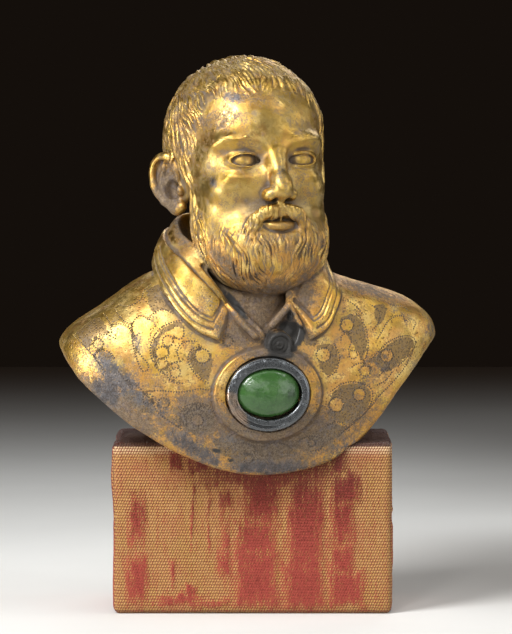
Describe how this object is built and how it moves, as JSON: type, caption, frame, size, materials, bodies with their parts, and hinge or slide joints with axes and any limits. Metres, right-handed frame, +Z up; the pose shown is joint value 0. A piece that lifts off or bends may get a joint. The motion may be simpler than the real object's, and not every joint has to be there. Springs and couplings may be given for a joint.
{
  "type": "gilt bronze bust on a velvet block",
  "caption": "Small gilt bronze bust of a bearded man with a green stone in a silver setting on the chest, hanging over the front of a velvet-covered block.",
  "frame": {"origin": "centre of the block's underside", "axes": "+Z up; -Y is the front, where the stone and the face look; +X is to the right of a viewer in front"},
  "size_m": [0.0937, 0.0524, 0.1375],
  "materials": {
    "gilt_bronze": "worn gilding over brown bronze, dark in the hollows",
    "dark_silver": "tarnished silver, polished on its rounded face",
    "green_stone": "polished mottled green stone",
    "worn_velvet": "red velvet pile worn through to its tan ground"
  },
  "bodies": {
    "root": {"bust": "gilt_bronze", "stone_setting": "dark_silver", "green_stone": "green_stone", "velvet_block": "worn_velvet"}
  },
  "joints": []
}
